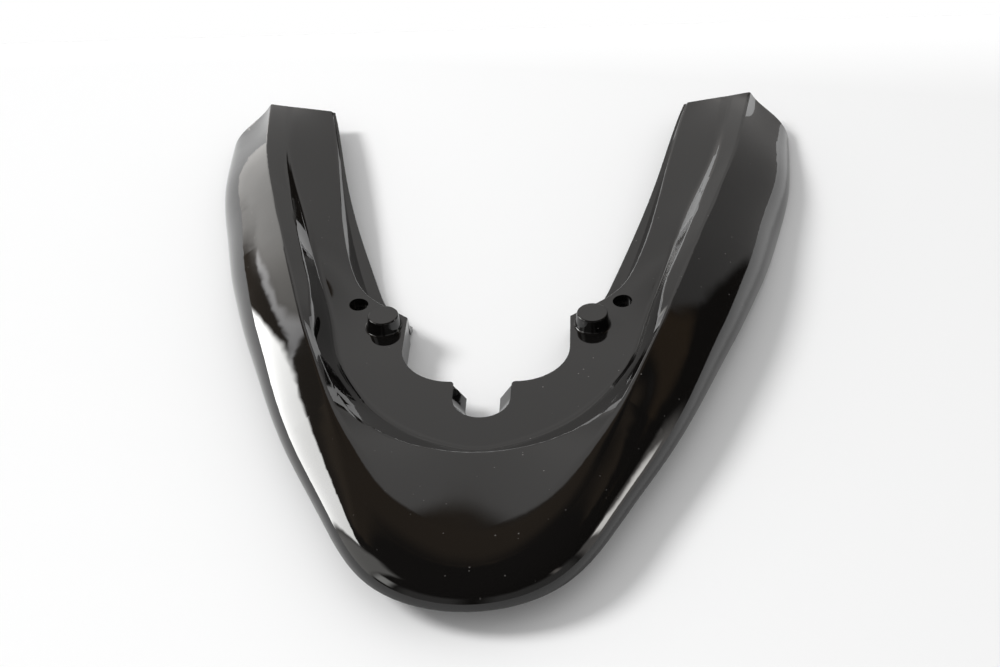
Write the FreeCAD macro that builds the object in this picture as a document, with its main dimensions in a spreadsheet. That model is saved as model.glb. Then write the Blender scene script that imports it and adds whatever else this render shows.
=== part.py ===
"""Grab rail cover of a scooter: one thin moulded shell.

Seen from above it is a U whose two arms run along the seat and whose blunt nose is the tail of the
vehicle. From the outside to the inside a cross-section shows the rim, the bulging side face, the creased
ridge, a narrow band, the lip of the step, the foot of the step, the recessed plate and, along the arms,
a turned-down wall with a ledge. X is across, +Y runs to the arm ends, +Z is up, Z = 0 is the rest plane.
"""
import math
import os

import FreeCAD
import Part
import Sketcher
from FreeCAD import Placement, Rotation, Vector

os.makedirs("parts", exist_ok=True)
doc = FreeCAD.newDocument("GrabRailCover")

# Driving dimensions in millimetres (angles in degrees). The level of the plate is shared by many lines.
PLATE = 16.7
SIZES = {
    "wall": 2.5,
    "arm_end": 199.5,
    "end_corner": 150.5,
    "end_cut_reach": 24.5,
    "end_cut_run": 31.0,
    "end_cut_bulge": 2.3,
    "gap_front": 20.0,
    "pivot_back": 50.0,
    "plate_up": PLATE,
    "lip_round": 1.1,
    "foot_round": 3.0,
    "edge_round": 0.8,
    "wall_share": 0.45,
    "drop_share": 0.85,
    "side_full": 0.42,
    "lobe_radius": 25.2,
    "lobe_centre_back": 39.6,
    "notch_half": 13.8,
    "notch_corner": 2.0,
    "notch_centre_back": 76.0,
    "notch_floor_half": 8.0,
    "notch_depth": 8.5,
    "notch_lip": 0.3,
    "skirt_setback": 0.6,
    "skirt_turn": 35.0,
    "boss_inset": 11.0,
    "boss_back": 21.9,
    "boss_base_radius": 9.0,
    "boss_draft": 10.0,
    "boss_height": 7.0,
    "boss_foot_round": 1.2,
    "boss_top_round": 0.8,
    "screw_inset": 6.9,
    "screw_back": 4.9,
    "screw_bore": 5.0,
    "screw_recess": 9.8,
    "screw_recess_depth": 3.0,
    "screw_cup_depth": 5.0,
}

# Lines plan. Each row is a cross-section: its place along the U, then for every moulded line its distance
# out from the middle (on the nose, from the pivot) and its height, then the width and drop of the inner
# flange, the softness of the ridge and by how many degrees the side face leaves the ridge flatter than
# its chord. An arm section's place is its Y, a nose section's its angle.
LINES = ("place", "edge_out", "edge_up", "foot_out", "foot_up", "lip_out", "lip_up", "ridge_out", "ridge_up",
         "rim_out", "rim_up", "flange_in", "flange_drop", "ridge_soft", "side_lift")
ARM = {
    "beyond": (215, 117.0, 14.0, 138.0, 14.0, 143.0, 16.0, 154.0, 16.8, 177.5, -1.5, 2.2, 1.2, 1.2, -6),
    "tip": (143, 100.2, 17.6, 126.0, 27.2, 129.8, 28.9, 140.1, 32.8, 170.0, -1.5, 3.2, 2.0, 1.2, 4),
    "flute": (118, 95.5, 18.4, 121.4, 28.5, 125.3, 31.9, 135.0, 36.1, 166.5, -1.5, 4.2, 3.2, 1.2, 12),
    "mid": (71, 86.7, 19.5, 107.4, 28.6, 113.3, 34.7, 122.6, 39.9, 154.6, -1.0, 8.5, 8.0, 1.2, 18),
    "root": (25, 75.0, 18.4, 93.3, 25.8, 100.2, 37.1, 108.7, 42.2, 141.2, 5.0, 13.0, 14.5, 1.2, 18),
    "screw": (0, 60.3, PLATE, 85.0, 19.0, 92.4, 38.0, 101.0, 42.8, 132.5, 8.0, 13.0, 14.5, 1.2, 18),
    "boss": (-20, 36.0, PLATE, 79.0, PLATE, 87.0, 38.5, 94.6, 42.3, 125.2, 10.0, 13.0, 14.5, 1.2, 18),
}
NOSE = {
    "shoulder": (0, 19.0, PLATE, 71.0, PLATE, 81.0, 35.8, 84.7, 40.5, 113.0, 12.0, 4.0, 14.5, 1.3, 18),
    "flank": (17, 19.0, PLATE, 64.2, PLATE, 75.2, 32.2, 79.2, 37.5, 105.0, 13.3, 4.0, 14.5, 1.5, 18),
    "wing": (35, 19.0, PLATE, 60.5, PLATE, 74.8, 28.7, 80.8, 34.4, 105.5, 13.8, 4.0, 14.5, 2.5, 18),
    "cheek": (56, 19.0, PLATE, 59.0, PLATE, 72.6, 25.8, 92.5, 30.4, 117.8, 14.0, 4.0, 14.5, 6.0, 18),
    "corner": (74, 19.0, PLATE, 59.7, PLATE, 71.1, 24.8, 113.5, 27.0, 141.8, 14.0, 4.0, 14.5, 9.0, 18),
    "middle": (90, 19.0, PLATE, 61.5, PLATE, 70.7, 24.6, 125.0, 24.4, 149.5, 14.0, 4.0, 14.5, 9.0, 18),
}

sheet = doc.addObject("Spreadsheet::Sheet", "Sizes")
row = 1
for name, value in SIZES.items():
    sheet.set(f"A{row}", str(value))
    sheet.setAlias(f"A{row}", name)
    row += 1
for station, values in {**ARM, **NOSE}.items():
    for column, (line, value) in enumerate(zip(LINES, values)):
        cell = f"{chr(ord('B') + column)}{row}"
        sheet.set(cell, str(value))
        sheet.setAlias(cell, f"{station}_{line}")
    row += 1
doc.recompute()


def size(name):
    """Value of one cell of the sheet."""
    return float(sheet.get(name))


# Cross-sections: chains of short curves from the flange over the ridge to the rim and back inside.
def flat(x, z):
    """Point of a section: x outwards, y unused, z up."""
    return Vector(x, 0, z)


def turned_down(direction):
    """Normal on the inner side of a skin line that runs outwards."""
    return Vector(direction.z, 0, -direction.x)


def unit(vector):
    return vector / vector.Length


def side_heading(ridge, rim, lift):
    """Direction in which the side face leaves the ridge: flatter than the chord to the rim by the lift."""
    chord = rim - ridge
    angle = math.atan2(chord.z, chord.x) + math.radians(lift)
    return flat(math.cos(angle), math.sin(angle))


def chords(poles, count=5):
    """A curve as a chain of straight shares."""
    curve = Part.BezierCurve()
    curve.setPoles(poles)
    stops = [curve.value(i / count) for i in range(count + 1)]
    return [list(pair) for pair in zip(stops[:-1], stops[1:])]


def skin(points, rounds, heading, plain=False):
    """Poles of the curves of one skin: straight stretches, rounded corners, the bulging side.

    The side of a plain skin is a chain of chords.
    """
    chains = []
    start = points[0]
    last = len(points) - 2
    for i in range(1, last + 1):
        corner = points[i]
        ahead = heading if i == last else unit(points[i + 1] - corner)
        back = corner - points[i - 1]
        room = min(back.Length, (points[i + 1] - corner).Length)
        reach = min(rounds[i - 1], 0.4 * room)
        if reach > 0:
            chains.append([start, corner - unit(back) * reach])
            chains.append([corner - unit(back) * reach, corner, corner + ahead * reach])
            start = corner + ahead * reach
        else:
            chains.append([start, corner])
            start = corner
    rim = points[-1]
    pull = size("side_full") * (rim - start).Length
    side = [start, start + heading * pull, rim + Vector(0, 0, pull), rim]
    return chains + (chords(side) if plain else [side])


def section(station):
    """Closed chain of one cross-section, in its own plane."""
    value = {line: size(f"{station}_{line}") for line in LINES}
    wall = size("wall")
    edge = flat(value["edge_out"], value["edge_up"])
    bend = edge - flat(value["flange_in"] * size("wall_share"), value["flange_drop"] * size("drop_share"))
    ledge = edge - flat(value["flange_in"], value["flange_drop"])
    foot = flat(value["foot_out"], value["foot_up"])
    lip = flat(value["lip_out"], value["lip_up"])
    ridge = flat(value["ridge_out"], value["ridge_up"])
    rim = flat(value["rim_out"], value["rim_up"])
    outside = [ledge, bend, edge, foot, lip, ridge, rim]
    heading = side_heading(ridge, rim, value["side_lift"])
    runs = [unit(b - a) for a, b in zip(outside[:-2], outside[1:-1])] + [heading]
    inside = [ledge + turned_down(runs[0]) * wall]
    for corner, before, after in zip(outside[1:-1], runs[:-1], runs[1:]):
        inside.append(corner + unit(turned_down(before) + turned_down(after)) * wall)
    inside.append(rim - flat(wall, 0))
    soft = value["ridge_soft"]
    rounds = [0, size("edge_round"), size("foot_round"), size("lip_round"), soft]
    outer = skin(outside, rounds, heading)
    inner = skin(inside, [0, 0, 0, 0, 0], heading, plain=True)
    back = [list(reversed(chain)) for chain in reversed(inner)]
    return outer + [[rim, inside[-1]]] + back + [[inside[0], ledge]]


def on_arm(station, hand):
    """Rule that puts a section across one arm."""
    along = size(f"{station}_place")
    return station, lambda p: Vector(hand * p.x, along, p.z)


def on_nose(station, hand):
    """Rule that puts a section on a ray from the pivot."""
    angle = math.radians(size(f"{station}_place"))
    back = size("pivot_back")
    return station, lambda p: Vector(hand * p.x * math.cos(angle), -back - p.x * math.sin(angle), p.z)


side_names = list(NOSE)[:-1]
rules = [on_arm(s, -1) for s in ARM] + [on_nose(s, -1) for s in side_names] + [on_nose("middle", 1)]
rules += [on_nose(s, 1) for s in reversed(side_names)] + [on_arm(s, 1) for s in reversed(ARM)]
sections = [[[put(pole) for pole in chain] for chain in section(s)] for s, put in rules]
crests = [put(flat(size(f"{s}_ridge_out"), size(f"{s}_ridge_up"))) for s, put in rules]

# Every pole runs along the U on a smooth curve. All curves share the stretch of the ridge as parameter.
stretch = [0.0]
for before, after in zip(crests[:-1], crests[1:]):
    stretch.append(stretch[-1] + (after - before).Length)

order = list(ARM) + list(NOSE)
parted = [order.index(s) for s in ("beyond", "mid", "root", "wing")]
partings = parted + [len(sections) - 1 - i for i in reversed(parted)]


def run_along(points):
    curve = Part.BSplineCurve()
    curve.interpolate(Points=points, Parameters=stretch)
    return curve


def strip(index):
    """Faces swept by one curve of the section along the whole U, parted at a few sections."""
    count = len(sections[0][index])
    curves = [run_along([s[index][j] for s in sections]) for j in range(count)]
    first = curves[0]
    poles = [list(across) for across in zip(*(c.getPoles() for c in curves))]
    pieces = []
    for begin, finish in zip(partings[:-1], partings[1:]):
        surface = Part.BSplineSurface()
        surface.buildFromPolesMultsKnots(poles, first.getMultiplicities(), [count, count], first.getKnots(),
                                         [0.0, 1.0], False, False, first.Degree, count - 1)
        surface.segment(stretch[begin], stretch[finish], 0.0, 1.0)
        pieces.append(surface.toShape())
    return pieces


def cap(chains):
    """Flat face across one arm."""
    edges = []
    for poles in chains:
        curve = Part.BezierCurve()
        curve.setPoles(poles)
        edges.append(curve.toShape())
    return Part.Face(Part.Wire(edges))


faces = [face for i in range(len(sections[0])) for face in strip(i)] + [cap(sections[0]), cap(sections[-1])]
shell = Part.Shell(faces)
shell.sewShape()
solid = Part.Solid(shell)
if solid.Volume < 0:
    shell.reverse()
    solid = Part.Solid(shell)
skin_feature = doc.addObject("Part::Feature", "MouldedSkin")
skin_feature.Shape = solid

# The body takes the skin as its base. Trims, cut-out, skirts, bosses and screw seats are features on it.
body = doc.addObject("PartDesign::Body", "grab_rail_cover")
body.Label = "grab_rail_cover"
body.Placement = Placement(Vector(0, 0, 0), Rotation())
body.BaseFeature = skin_feature
doc.recompute()
ground = next(f for f in body.Origin.OriginFeatures if f.Role == "XY_Plane")


def plan(name, level):
    """Sketch seen from above, at a level given as an expression of the sheet."""
    sketch = body.newObject("Sketcher::SketchObject", name)
    sketch.AttachmentSupport = (ground, [""])
    sketch.MapMode = "FlatFace"
    sketch.setExpression("AttachmentOffset.Base.z", level)
    return sketch


def loop(sketch, *corners):
    """Closed outline: a plain corner starts a line, a (through, to) pair makes an arc."""
    here = corners[0]
    for step in list(corners[1:]) + [corners[0]]:
        if isinstance(step, tuple):
            through, to = step
            sketch.addGeometry(Part.Arc(here, through, to))
            here = to
        else:
            sketch.addGeometry(Part.LineSegment(here, step))
            here = step


def mirrored(step):
    if isinstance(step, tuple):
        return tuple(mirrored(p) for p in step)
    return Vector(-step.x, step.y, 0)


def rounds_at(sketch, out, back, radius):
    """A pair of circles, one on each arm, bound to the sheet."""
    for hand in (1, -1):
        x = hand * float(sketch.evalExpression(out))
        geo = sketch.addGeometry(Part.Circle(Vector(x, -size(back), 0), Vector(0, 0, 1), 1))
        ends = [(-1, 1), (geo, 3)] if hand > 0 else [(geo, 3), (-1, 1)]
        across = sketch.addConstraint(Sketcher.Constraint("DistanceX", *ends[0], *ends[1], abs(x)))
        along = sketch.addConstraint(Sketcher.Constraint("DistanceY", geo, 3, -1, 1, size(back)))
        radial = sketch.addConstraint(Sketcher.Constraint("Radius", geo, 1))
        sketch.setExpression(f"Constraints[{across}]", out)
        sketch.setExpression(f"Constraints[{along}]", f"Sizes.{back}")
        sketch.setExpression(f"Constraints[{radial}]", radius)


def feature(kind, name, sketch, length=None, upward=True):
    """Pad or pocket of a plan sketch, upwards or downwards."""
    made = body.newObject(f"PartDesign::{kind}", name)
    made.Profile = sketch
    if length:
        made.setExpression("Length", length)
    else:
        made.Type = "ThroughAll"
    made.Reversed = upward == (kind == "Pocket")
    doc.recompute()
    return made


def at(x, y):
    return Vector(x, y, 0)


wall = size("wall")
end = size("arm_end")
far = 2 * end

# Rest plane: the arms stand on a flat stretch of rim.
trim = plan("RestPlane", "0 mm")
loop(trim, at(-far, -far), at(far, -far), at(far, far), at(-far, far))
feature("Pocket", "RestTrim", trim, upward=False)

# Arm ends: square across the top, swept back over the side face.
corner = at(size("end_corner"), end)
swept = at(corner.x + size("end_cut_reach"), end - size("end_cut_run"))
chord = swept - corner
bulge = (corner + swept) / 2 + unit(at(-chord.y, chord.x)) * size("end_cut_bulge")
ends = plan("ArmEnds", "0 mm")
outline = [at(size("notch_half"), end), corner, (bulge, swept), at(far, swept.y), at(far, far),
           at(size("notch_half"), far)]
loop(ends, *outline)
loop(ends, *[mirrored(step) for step in outline])
feature("Pocket", "ArmEndTrim", ends)

# Skirt turned down along the inner side of each tab, down to the rest plane. It starts just behind the
# place where the plate's edge meets the tab, and the cut-out trims its inner face.
half = size("notch_half")
nick = size("notch_corner")
radius = size("lobe_radius")
lobe = at(half + nick, -size("lobe_centre_back"))
tab = lobe.x + radius
swing = math.radians(size("skirt_turn"))
widening = (size("screw_edge_out") - size("boss_edge_out")) / (size("screw_place") - size("boss_place"))
front = size("boss_place") + (tab - size("boss_edge_out")) / widening - size("skirt_setback")


def round_lobe(r, angle):
    return lobe + at(r * math.cos(angle), -r * math.sin(angle))


skirt = plan("Skirts", "0 mm")
outer = radius + wall
inner = radius - wall
strip_line = [at(lobe.x + inner, front), at(lobe.x + inner, lobe.y),
              (round_lobe(inner, swing / 2), round_lobe(inner, swing)), round_lobe(outer, swing),
              (round_lobe(outer, swing / 2), at(lobe.x + outer, lobe.y)), at(lobe.x + outer, front)]
loop(skirt, *strip_line)
loop(skirt, *[mirrored(step) for step in strip_line])
feature("Pad", "SkirtPad", skirt, "Sizes.plate_up - Sizes.wall / 2")

# Cut-out between the tabs: two lobes and the U notch.
notch = -size("notch_centre_back")
slant = math.sqrt(0.5)
shoulder = lobe.y - radius - nick
right = [at(tab, size("gap_front")), at(tab, lobe.y),
         (lobe + at(radius * slant, -radius * slant), at(lobe.x, lobe.y - radius)),
         (at(lobe.x - nick * slant, shoulder + nick * slant), at(half, shoulder)),
         at(half, notch)]
left = [at(-half, shoulder),
        (at(-lobe.x + nick * slant, shoulder + nick * slant), at(-lobe.x, lobe.y - radius)),
        (at(-lobe.x - radius * slant, lobe.y - radius * slant), at(-tab, lobe.y)),
        at(-tab, size("gap_front"))]
gap = plan("CutOut", "0 mm")
loop(gap, *right, (at(0, notch - half), at(-half, notch)), *left)
feature("Pocket", "CutOutPocket", gap)


# Funnel of the notch: a U-shaped wall that leans in below the plate and stays open to the front.
lip = size("notch_lip")
lower = size("notch_floor_half")
lean = (half - lower) / size("notch_depth")
mouth = shoulder - size("edge_round")


def u_wall(name, level, inner):
    """Level section of the funnel's wall, from one end round the back to the other."""
    outer = inner + wall
    sketch = plan(name, level)
    loop(sketch, at(outer, mouth), at(outer, notch), (at(0, notch - outer), at(-outer, notch)),
         at(-outer, mouth), at(-inner, mouth), at(-inner, notch), (at(0, notch - inner), at(inner, notch)),
         at(inner, mouth))
    return sketch


funnel = body.newObject("PartDesign::AdditiveLoft", "Funnel")
funnel.Profile = u_wall("FunnelTop", "Sizes.plate_up - Sizes.notch_lip", half - lean * lip)
funnel.Sections = [u_wall("FunnelFoot", "Sizes.plate_up - Sizes.notch_depth", lower)]
doc.recompute()

# Bosses stand a little in from the tab's edge, screw seats a little in from the plate's.
BOSS_OUT = "Sizes.notch_half + Sizes.notch_corner + Sizes.lobe_radius + Sizes.boss_inset"
SCREW_OUT = "Sizes.screw_edge_out + Sizes.screw_inset"

# Screw seats: cups under the plate, counterbored from above.
cups = plan("ScrewCups", "Sizes.plate_up - Sizes.wall / 2")
rounds_at(cups, SCREW_OUT, "screw_back", "Sizes.screw_recess / 2 + Sizes.wall")
feature("Pad", "ScrewCupPad", cups, "Sizes.screw_cup_depth - Sizes.wall / 2", upward=False)

# Bosses: tapered hollow domes on the plate.
domes = plan("Bosses", "Sizes.plate_up - Sizes.wall / 2")
rounds_at(domes, BOSS_OUT, "boss_back", "Sizes.boss_base_radius")
dome = feature("Pad", "BossPad", domes, "Sizes.boss_height + Sizes.wall / 2")
dome.setExpression("TaperAngle", "-Sizes.boss_draft")
doc.recompute()
hollow = plan("BossHollows", "0 mm")
rounds_at(hollow, BOSS_OUT, "boss_back",
          "Sizes.boss_base_radius - Sizes.boss_height * tan(Sizes.boss_draft) - Sizes.wall")
feature("Pocket", "BossHollowPocket", hollow, "Sizes.plate_up + Sizes.boss_height - Sizes.wall")

bores = plan("ScrewHoles", "Sizes.plate_up + Sizes.wall")
rounds_at(bores, SCREW_OUT, "screw_back", "Sizes.screw_bore / 2")
doc.recompute()
drill = body.newObject("PartDesign::Hole", "ScrewHole")
drill.Profile = bores
drill.DepthType = "ThroughAll"
drill.ThreadType = "None"
drill.HoleCutType = "Counterbore"
drill.HoleCutCustomValues = True
drill.setExpression("Diameter", "Sizes.screw_bore")
drill.setExpression("HoleCutDiameter", "Sizes.screw_recess")
drill.setExpression("HoleCutDepth", "Sizes.screw_recess_depth + Sizes.wall")
doc.recompute()


def rings(up, radius):
    """Names of the level edges about the boss axes, at a height and a radius."""
    names = []
    for i, edge in enumerate(body.Shape.Edges):
        middle = edge.valueAt((edge.FirstParameter + edge.LastParameter) / 2)
        off = at(abs(middle.x) - tab - size("boss_inset"), middle.y + size("boss_back"))
        level = edge.BoundBox.ZLength < wall / 2 and abs(middle.z - up) < wall / 4
        if level and abs(off.Length - radius) < wall / 4:
            names.append(f"Edge{i + 1}")
    return names


def fillet(name, edges, alias):
    base = body.Tip
    made = body.newObject("PartDesign::Fillet", name)
    made.Base = (base, edges)
    made.setExpression("Radius", f"Sizes.{alias}")
    doc.recompute()
    return made


draft = math.tan(math.radians(size("boss_draft")))
top_radius = size("boss_base_radius") - draft * (size("boss_height") + wall / 2)
fillet("BossTopRound", rings(size("plate_up") + size("boss_height"), top_radius), "boss_top_round")
fillet("BossFootRound", rings(size("plate_up"), size("boss_base_radius")), "boss_foot_round")

# Nothing is written unless every object is sound.
for item in doc.Objects:
    if "Invalid" in item.State or "Error" in item.State:
        raise RuntimeError(f"{item.Name} failed: {item.State}")
if body.Shape.isNull() or not body.Shape.isValid() or len(body.Shape.Solids) != 1:
    raise RuntimeError("the cover is not one sound solid")
body.Shape.exportStep(f"parts/{body.Label}.step")
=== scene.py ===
import math

import bpy
import numpy as np
from mathutils import Matrix, Vector

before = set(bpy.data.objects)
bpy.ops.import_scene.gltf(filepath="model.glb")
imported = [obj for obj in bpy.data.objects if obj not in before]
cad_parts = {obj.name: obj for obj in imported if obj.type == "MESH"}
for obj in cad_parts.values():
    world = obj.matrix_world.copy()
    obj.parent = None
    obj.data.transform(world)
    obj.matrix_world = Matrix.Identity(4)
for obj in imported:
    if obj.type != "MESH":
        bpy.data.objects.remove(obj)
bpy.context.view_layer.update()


# Grab rail cover: one injection-moulded shell of gloss black plastic, screwed to the rail through
# its two cups. The solid keeps its form; the finish is a deep black gloss with a little dust.
def new_material(name):
    material = bpy.data.materials.new(name)
    material.use_nodes = True
    return material, material.node_tree


def node(tree, kind, operation=None, **inputs):
    """A node with its operation and its input sockets set or linked, by name or as i0, i1, i2."""
    made = tree.nodes.new(kind)
    if operation:
        made.operation = operation
    for key, value in inputs.items():
        numbered = key[0] == "i" and key[1:].isdigit()
        socket = made.inputs[int(key[1:])] if numbered else made.inputs[key.replace("_", " ")]
        if isinstance(value, bpy.types.NodeSocket):
            tree.links.new(value, socket)
        else:
            socket.default_value = value
    return made


def reckon(tree, operation, *values):
    """The result of one arithmetic step on numbers or sockets."""
    inputs = {f"i{slot}": value for slot, value in enumerate(values)}
    return node(tree, "ShaderNodeMath", operation, **inputs).outputs[0]


def product(tree, factors):
    result = factors[0]
    for factor in factors[1:]:
        result = reckon(tree, "MULTIPLY", result, factor)
    return result


def noise(tree, place, scale, detail):
    return node(tree, "ShaderNodeTexNoise", Vector=place, Scale=scale, Detail=detail).outputs["Fac"]


def ramp(tree, value, stretch, levels=(0.0, 1.0), smooth=True):
    """Value carried from a stretch to a pair of levels, and held at the levels past its ends."""
    made = node(tree, "ShaderNodeMapRange", Value=value, From_Min=stretch[0], From_Max=stretch[1],
                To_Min=levels[0], To_Max=levels[1])
    made.interpolation_type = "SMOOTHSTEP" if smooth else "LINEAR"
    return made.outputs["Result"]


BLACK = (0.0045, 0.0042, 0.004, 1)
PLASTIC_IOR = 1.5
gloss, tree = new_material("gloss_black_moulding")
shader = tree.nodes["Principled BSDF"]
shader.inputs["IOR"].default_value = PLASTIC_IOR
place = node(tree, "ShaderNodeTexCoord").outputs["Object"]

# Dust: sparse specks, each the middle of a small cell kept by chance, thicker in patches.
DUST = (0.11, 0.105, 0.10, 1)
DUST_CELLS = 420.0
SPECK_EDGE = (0.20, 0.08)
SPECK_CHANCE = (0.955, 0.97)
PATCH_SCALE = 14.0
PATCH_DETAIL = 2.0
PATCH_EDGE = (0.45, 0.62)
PATCH_LEVELS = (0.25, 1.0)
cells = node(tree, "ShaderNodeTexVoronoi", Vector=place, Scale=DUST_CELLS).outputs
chance = node(tree, "ShaderNodeSeparateColor", Color=cells["Color"]).outputs["Red"]
dust = product(tree, [ramp(tree, cells["Distance"], SPECK_EDGE),
                      ramp(tree, chance, SPECK_CHANCE),
                      ramp(tree, noise(tree, place, PATCH_SCALE, PATCH_DETAIL), PATCH_EDGE, PATCH_LEVELS)])
tint = node(tree, "ShaderNodeMix")
tint.data_type = "RGBA"
tint.inputs["A"].default_value = BLACK
tint.inputs["B"].default_value = DUST
tree.links.new(dust, tint.inputs["Factor"])
tree.links.new(tint.outputs["Result"], shader.inputs["Base Color"])

# Polish: wiping leaves slightly duller smears, and the moulded skin waves very faintly.
SMEAR_SCALE = 24.0
SMEAR_DETAIL = 4.0
SMEAR_EDGE = (0.42, 0.75)
SMEAR_ROUGHNESS = (0.03, 0.085)
WAVE_SCALE = 45.0
WAVE_DETAIL = 1.0
WAVE_HEIGHT = 0.0001
WAVE_STRENGTH = 0.06
smears = noise(tree, place, SMEAR_SCALE, SMEAR_DETAIL)
tree.links.new(ramp(tree, smears, SMEAR_EDGE, SMEAR_ROUGHNESS), shader.inputs["Roughness"])
waves = node(tree, "ShaderNodeBump", Strength=WAVE_STRENGTH, Distance=WAVE_HEIGHT,
             Height=noise(tree, place, WAVE_SCALE, WAVE_DETAIL))
tree.links.new(waves.outputs["Normal"], shader.inputs["Normal"])

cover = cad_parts["grab_rail_cover"]
cover.data.materials.clear()
cover.data.materials.append(gloss)

# Mirror: the loaded normals are means of facets, which break up a mirror image. A hidden copy carries
# truer ones, each square to a curved patch fitted through the points around it, and a modifier hands
# them to the shell. Points on a round bent past TIGHT keep their normals, and so do those that a patch
# would turn past SOUND; both are cosines. A point pulls less on the patch the farther off it lies.
TIGHT = 0.94
SOUND = 0.99
SIDEWAYS = 0.7
FEWEST_POINTS = 8
CLOSEST = 1e-6
PULL_POWER = -1.5
FIT_CUTOFF = 1e-6


def patch_normal(facing, offsets):
    """The normal of a curved patch through a point, fitted to the offsets of the points around it."""
    across = np.cross(facing, (1, 0, 0) if abs(facing[0]) < SIDEWAYS else (0, 1, 0))
    across /= np.linalg.norm(across)
    along = np.cross(facing, across)
    u, v, rise = offsets @ across, offsets @ along, offsets @ facing
    pull = np.maximum(np.linalg.norm(offsets, axis=1), CLOSEST) ** PULL_POWER
    patch = np.column_stack((u, v, u * u, u * v, v * v)) * pull[:, None]
    slope = np.linalg.lstsq(patch, rise * pull, rcond=FIT_CUTOFF)[0]
    fitted = facing - slope[0] * across - slope[1] * along
    return fitted / np.linalg.norm(fitted)


twin = bpy.data.objects.new("mirror_normals", cover.data.copy())
bpy.context.scene.collection.objects.link(twin)
twin.hide_render = twin.hide_viewport = True
spots = np.array([point.co for point in twin.data.vertices])
normals = np.zeros_like(spots)
for corner, facing in zip(twin.data.loops, twin.data.corner_normals):
    normals[corner.vertex_index] = facing.vector
near = [set() for _ in spots]
for edge in twin.data.edges:
    first, second = edge.vertices
    near[first].add(second)
    near[second].add(first)
truer = normals.copy()
for point, ring in enumerate(near):
    facing = normals[point]
    wider = ring.union(*(near[other] for other in ring))
    widest = wider.union(*(near[other] for other in wider)) - {point}
    around = np.array(sorted(widest), dtype=int)
    around = around[normals[around] @ facing > TIGHT]
    if len(around) < FEWEST_POINTS or (normals[list(ring)] @ facing).min() < TIGHT:
        continue
    fitted = patch_normal(facing, spots[around] - spots[point])
    if fitted @ facing > SOUND:
        truer[point] = fitted
twin.data.normals_split_custom_set_from_vertices(truer.tolist())
handed = cover.modifiers.new("mirror_normals", "DATA_TRANSFER")
handed.object = twin
handed.use_loop_data = True
handed.data_types_loops = {"CUSTOM_NORMAL"}
handed.loop_mapping = "TOPOLOGY"


# Table: a plain matt white top on which the part lies. Its tone falls off a little to the right, which is
# painted shade for the window light fading away from the left, and lifts at the back, where it meets the
# white ground.
TABLE_X = (-1.4, 0.75)
TABLE_Y = (-1.6, 0.34)
TABLE_ROUGHNESS = 0.7
# Painted shade: the table's colour darkens towards the right, away from the window light.
PAINTED_SHADE_X = (-0.2, 0.4)
PAINTED_SHADE_TONE = (0.90, 0.80)
LIFT_Y = (0.20, 0.335)
LIFT_TONE = (0.80, 0.92)


def flat_sheet(name, corners, material):
    mesh = bpy.data.meshes.new(name)
    mesh.from_pydata(corners, [], [(0, 1, 2, 3)])
    mesh.materials.append(material)
    sheet = bpy.data.objects.new(name, mesh)
    bpy.context.scene.collection.objects.link(sheet)
    return sheet


def place_of(tree):
    """The X, Y and Z sockets of a point in its object."""
    place = node(tree, "ShaderNodeTexCoord").outputs["Object"]
    return node(tree, "ShaderNodeSeparateXYZ", Vector=place).outputs


white, tree = new_material("white_table")
shader = tree.nodes["Principled BSDF"]
shader.inputs["Roughness"].default_value = TABLE_ROUGHNESS
shader.inputs["Specular IOR Level"].default_value = 0.0
at = place_of(tree)
# The lighter of the painted shade to the right and the lift towards the white ground at the back.
tone = reckon(tree, "MAXIMUM", ramp(tree, at["X"], PAINTED_SHADE_X, PAINTED_SHADE_TONE),
              ramp(tree, at["Y"], LIFT_Y, LIFT_TONE))
grey = node(tree, "ShaderNodeCombineColor", Red=tone, Green=tone, Blue=tone).outputs[0]
tree.links.new(grey, shader.inputs["Base Color"])
floor = flat_sheet("table", [(TABLE_X[0], TABLE_Y[0], 0), (TABLE_X[1], TABLE_Y[0], 0),
                             (TABLE_X[1], TABLE_Y[1], 0), (TABLE_X[0], TABLE_Y[1], 0)], white)


# Room: a pale fill for the part and the table, a white ground for the camera, and cards all round
# that only the gloss mirrors. They are far off, so each covers a stretch of directions.

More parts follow.
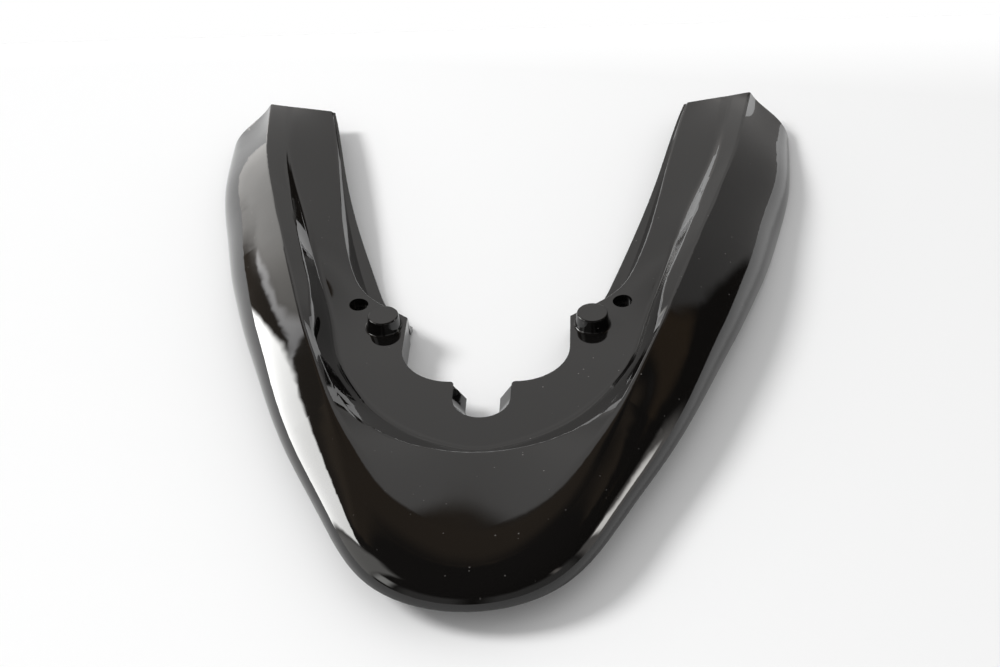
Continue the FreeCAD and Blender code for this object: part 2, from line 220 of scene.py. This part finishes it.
# A card has its stretch of bearing (degrees from +Y, clockwise), its stretch of elevation, the leans of its
# left and right edges, the width of its soft edges and its colour. An edge that leans goes to the left by
# so many degrees of bearing for each degree above LEAN_FROM.
LEAN_FROM = 5
UPRIGHT = (0, 0)
CARDS = {
    "pale_back": ((-48, 28), (4, 42), UPRIGHT, 8, (0.50, 0.49, 0.48)),
    "pale_back_foot": ((-45, 2), (-30, 4), UPRIGHT, 6, (0.45, 0.44, 0.43)),
    "grey_back_right": ((28, 51), (-40, 48), (0, -0.04), 4, (0.36, 0.355, 0.35)),
    "grey_back_right_foot": ((21, 28), (-40, 4), UPRIGHT, 4, (0.36, 0.355, 0.35)),
    "brown_right": ((53, 62), (30, 46), UPRIGHT, 6, (0.20, 0.13, 0.07)),
    "white_back_left": ((-45, -27), (-30, 28), (0.56, 0), 5, (1.25, 1.23, 1.19)),
    "brown_left": ((-64, -45), (-30, 50), UPRIGHT, 6, (0.13, 0.105, 0.08)),
    "bright_slit_left": ((-47, -44.5), (8, 30), (0.56, 0.56), 2, (2.4, 2.4, 2.45)),
    "brown_overhead": ((-60, 50), (46, 58), UPRIGHT, 6, (0.20, 0.145, 0.095)),
    "white_left": ((-112, -79), (-14, 60), UPRIGHT, 10, (1.7, 1.68, 1.62)),
    "bright_left": ((-127, -114), (8, 34), UPRIGHT, 8, (3.4, 3.4, 3.3)),
    "bright_right": ((79, 86), (9, 27), UPRIGHT, 4, (9.0, 8.8, 8.5)),
    "white_right": ((74, 98), (-12, 30), UPRIGHT, 8, (1.1, 1.05, 1.0)),
    "grey_front_right": ((104, 172), (-8, 34), UPRIGHT, 16, (0.40, 0.395, 0.39)),
    "grey_front_left": ((-172, -134), (-8, 34), UPRIGHT, 16, (0.40, 0.395, 0.39)),
    "warm_front_right": ((114, 121), (30, 42), UPRIGHT, 6, (1.4, 1.3, 1.2)),
}
DIM_ROOM = (0.022, 0.018, 0.015)
FILL = 0.65
WHITE = (1, 1, 1, 1)


def fade(value, soft):
    """The stretch of a soft edge about a value. It fades in, or out where soft is negative."""
    return value - soft / 2, value + soft / 2


world = bpy.data.worlds.new("room")
bpy.context.scene.world = world
world.use_nodes = True
tree = world.node_tree
outwards = node(tree, "ShaderNodeTexCoord").outputs["Generated"]
heading = node(tree, "ShaderNodeSeparateXYZ", Vector=outwards).outputs
bearing = reckon(tree, "DEGREES", reckon(tree, "ARCTAN2", heading["X"], heading["Y"]))
height = reckon(tree, "DEGREES", reckon(tree, "ARCSINE", heading["Z"]))
above = reckon(tree, "MAXIMUM", reckon(tree, "SUBTRACT", height, LEAN_FROM), 0.0)
mirrored = node(tree, "ShaderNodeCombineXYZ", X=DIM_ROOM[0], Y=DIM_ROOM[1], Z=DIM_ROOM[2]).outputs[0]
for (left, right), (low, high), leans, soft, colour in CARDS.values():
    from_left, from_right = [reckon(tree, "MULTIPLY_ADD", above, lean, bearing) for lean in leans]
    mask = product(tree, [ramp(tree, from_left, fade(left, soft)),
                          ramp(tree, from_right, fade(right, -soft)),
                          ramp(tree, height, fade(low, soft)),
                          ramp(tree, height, fade(high, -soft))])
    card = node(tree, "ShaderNodeVectorMath", "MULTIPLY_ADD", i0=mask, i1=colour, i2=mirrored)
    mirrored = card.outputs[0]
room = tree.nodes["Background"]
tree.links.new(mirrored, room.inputs["Color"])
fill = node(tree, "ShaderNodeBackground", Color=WHITE, Strength=FILL)
ground = node(tree, "ShaderNodeBackground", Color=WHITE, Strength=1.0)
rays = node(tree, "ShaderNodeLightPath").outputs
lit = node(tree, "ShaderNodeMixShader", i0=rays["Is Glossy Ray"], i1=fill.outputs[0], i2=room.outputs[0])
seen = node(tree, "ShaderNodeMixShader", i0=rays["Is Camera Ray"], i1=lit.outputs[0], i2=ground.outputs[0])
tree.links.new(seen.outputs[0], tree.nodes["World Output"].inputs["Surface"])


# Window and backdrop: two glowing sheets that stand near enough for their mirror images to slide along
# the part. They are seen by glossy rays only, and fade out at their edges.
def mirror_card(name, corners):
    """A staged sheet that only the gloss mirrors: its node tree and the sockets of a point on it."""
    glow, tree = new_material(name + "_glow")
    card = flat_sheet(name, corners, glow)
    card.visible_camera = card.visible_diffuse = False
    card.visible_transmission = card.visible_shadow = False
    return tree, place_of(tree)


def shine(tree, edges, colour, strength):
    """The sheet's light, clear where any of its edges fades out."""
    light = node(tree, "ShaderNodeEmission", Color=colour, Strength=strength)
    clear = node(tree, "ShaderNodeBsdfTransparent")
    mask = product(tree, edges)
    both = node(tree, "ShaderNodeMixShader", i0=mask, i1=clear.outputs[0], i2=light.outputs[0])
    tree.links.new(both.outputs[0], tree.nodes["Material Output"].inputs["Surface"])


WINDOW_X = -0.62
WINDOW_NEAR = -0.06
WINDOW_FAR = (0.34, 0.19)
WINDOW_Z = (-0.02, 0.62)
WINDOW_SOFT = 0.035
WINDOW_COLOUR = (1, 1, 0.985, 1)
WINDOW_GLOW = 13.0
tree, at = mirror_card("window", [(WINDOW_X, WINDOW_NEAR, WINDOW_Z[0]),
                                  (WINDOW_X, WINDOW_FAR[0], WINDOW_Z[0]),
                                  (WINDOW_X, WINDOW_FAR[1], WINDOW_Z[1]),
                                  (WINDOW_X, WINDOW_NEAR, WINDOW_Z[1])])
far = ramp(tree, at["Z"], WINDOW_Z, WINDOW_FAR, smooth=False)
inside = reckon(tree, "SUBTRACT", far, at["Y"])
shine(tree, [ramp(tree, inside, (0.0, WINDOW_SOFT)),
             ramp(tree, at["Y"], (WINDOW_NEAR, WINDOW_NEAR + WINDOW_SOFT)),
             ramp(tree, at["Z"], (WINDOW_Z[1], WINDOW_Z[1] - WINDOW_SOFT))], WINDOW_COLOUR, WINDOW_GLOW)

BACKDROP_X = (-0.34, 0.34)
BACKDROP_Y = 0.46
BACKDROP_Z = (0.02, 0.70)
BACKDROP_SOFT = 0.04
BACKDROP_COLOUR = (1, 0.98, 0.96, 1)
BACKDROP_GLOW_Z = (0.06, 0.45)
BACKDROP_GLOW = (0.45, 0.98)
tree, at = mirror_card("backdrop", [(BACKDROP_X[0], BACKDROP_Y, BACKDROP_Z[0]),
                                    (BACKDROP_X[1], BACKDROP_Y, BACKDROP_Z[0]),
                                    (BACKDROP_X[1], BACKDROP_Y, BACKDROP_Z[1]),
                                    (BACKDROP_X[0], BACKDROP_Y, BACKDROP_Z[1])])
shine(tree, [ramp(tree, at["X"], (BACKDROP_X[0], BACKDROP_X[0] + BACKDROP_SOFT)),
             ramp(tree, at["X"], (BACKDROP_X[1], BACKDROP_X[1] - BACKDROP_SOFT)),
             ramp(tree, at["Z"], (BACKDROP_Z[0], BACKDROP_Z[0] + BACKDROP_SOFT)),
             ramp(tree, at["Z"], (BACKDROP_Z[1], BACKDROP_Z[1] - BACKDROP_SOFT))],
      BACKDROP_COLOUR, ramp(tree, at["Z"], BACKDROP_GLOW_Z, BACKDROP_GLOW))


# Key light: soft daylight from the window side, which throws the part's shadow on the table.
# The gloss doesn't mirror it, because the window sheet stands for it there.
KEY_ENERGY = 2.15
KEY_ANGLE = math.radians(18)
KEY_HEADING = Vector((1.1, -0.12, -1))
key = bpy.data.lights.new("window_light", "SUN")
key.energy = KEY_ENERGY
key.angle = KEY_ANGLE
key_object = bpy.data.objects.new("window_light", key)
key_object.visible_glossy = False
key_object.rotation_euler = KEY_HEADING.to_track_quat("-Z", "Y").to_euler()
bpy.context.scene.collection.objects.link(key_object)


# Camera: it stands where the photograph was taken from, looks down on the nose of the part and
# is turned a little about its own axis.
CAMERA_PLACE = Vector((0.05355, -0.52566, 0.42058))
CAMERA_BACK = Vector((0.07339, -0.77368, 0.62932)).normalized()
CAMERA_RIGHT = Vector((0.99553, 0.09444, 0)).normalized()
CAMERA_ROLL = math.radians(-4.114)
CAMERA_LENS = 46.8
CAMERA_SENSOR = 36
camera_up = CAMERA_BACK.cross(CAMERA_RIGHT)
right_rolled = CAMERA_RIGHT * math.cos(CAMERA_ROLL) + camera_up * math.sin(CAMERA_ROLL)
up_rolled = camera_up * math.cos(CAMERA_ROLL) - CAMERA_RIGHT * math.sin(CAMERA_ROLL)
turn = Matrix((right_rolled, up_rolled, CAMERA_BACK)).transposed()
camera = bpy.data.cameras.new("camera")
camera.lens = CAMERA_LENS
camera.sensor_width = CAMERA_SENSOR
camera_object = bpy.data.objects.new("camera", camera)
bpy.context.scene.collection.objects.link(camera_object)
camera_object.matrix_world = Matrix.Translation(CAMERA_PLACE) @ turn.to_4x4()
bpy.context.scene.camera = camera_object
bpy.context.scene.view_settings.view_transform = "Standard"
